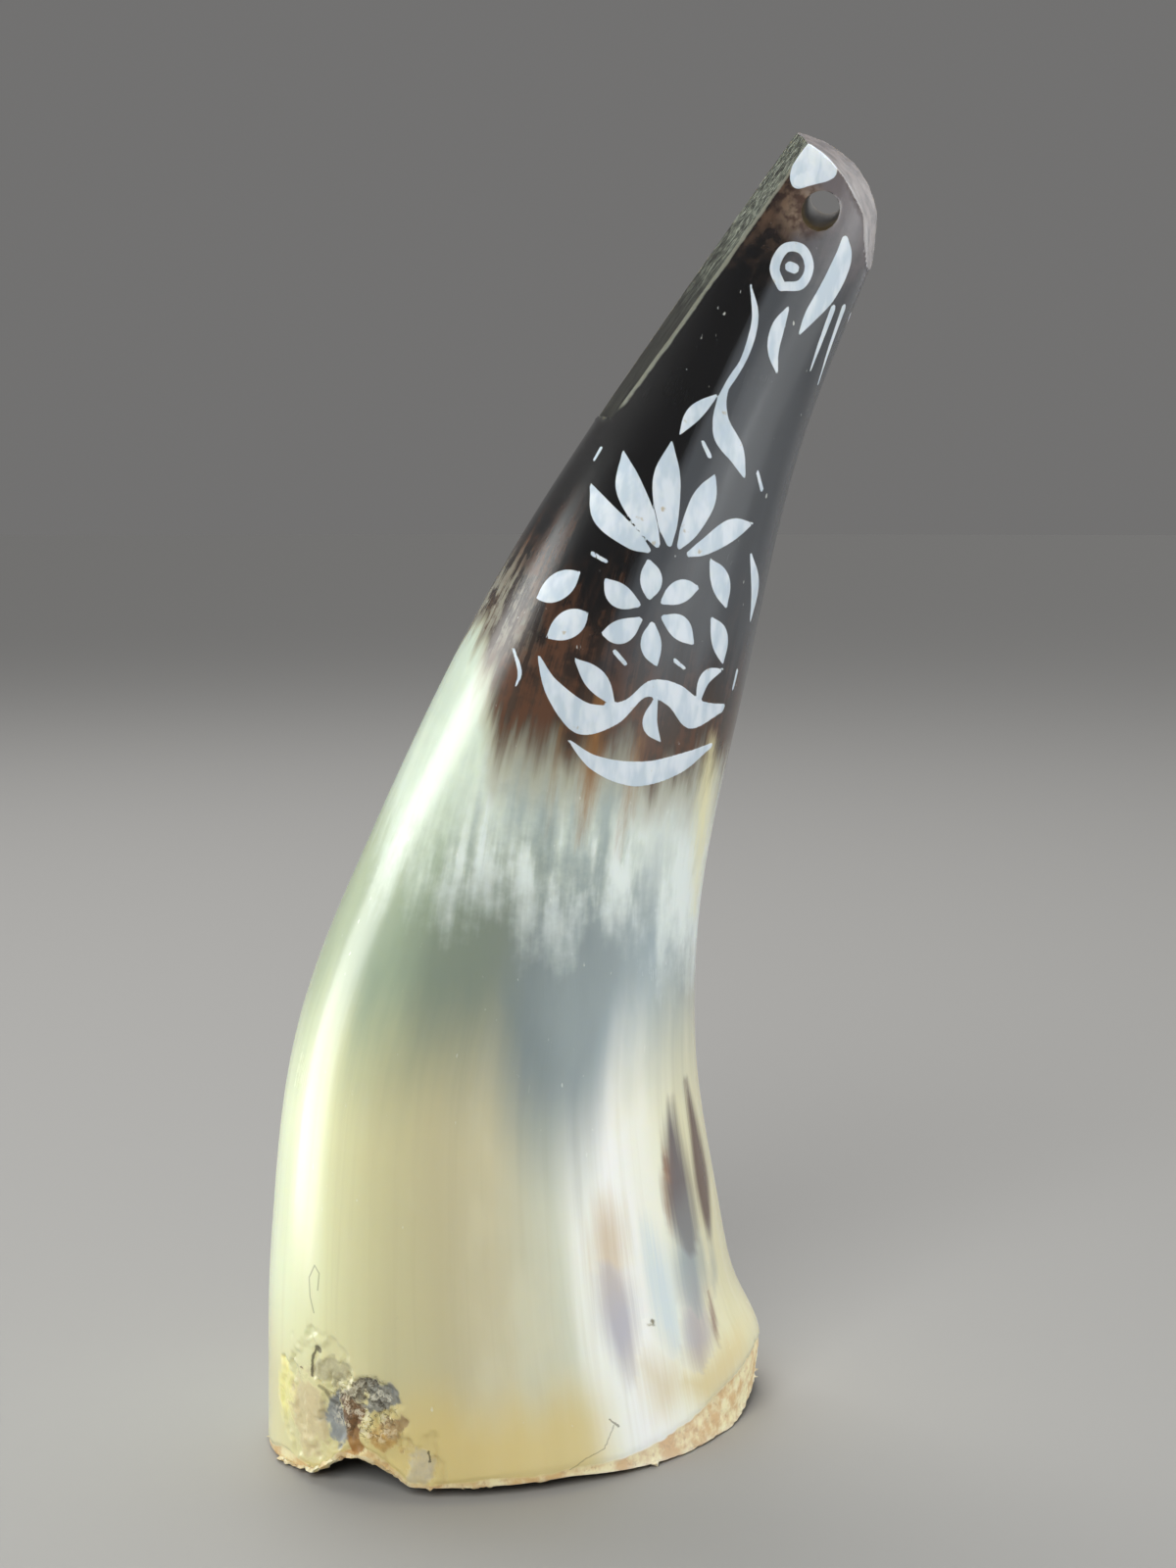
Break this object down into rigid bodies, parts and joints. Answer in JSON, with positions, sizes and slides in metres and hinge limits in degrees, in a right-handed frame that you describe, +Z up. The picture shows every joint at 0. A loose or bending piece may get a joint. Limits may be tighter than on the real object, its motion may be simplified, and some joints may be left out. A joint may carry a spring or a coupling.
{
  "type": "painted animal horn",
  "caption": "Polished cattle-horn ornament standing on its sawn hollow end, leaning to a drilled tip, with white brush strokes on the dark upper half.",
  "frame": {"origin": "middle of the bounding box's underside, on the surface that the sawn end stands on", "axes": "+Z up from the sawn end to the tip, +X to the side that the horn leans to, -Y the painted front"},
  "size_m": [0.0752, 0.0586, 0.1601],
  "materials": {
    "horn": "polished translucent horn: pale cream below, misty grey and amber streaks in the middle, black-brown above, with white enamel strokes, and a rough sawn flat at the tip"
  },
  "bodies": {
    "root": {"horn": "horn"}
  },
  "joints": []
}
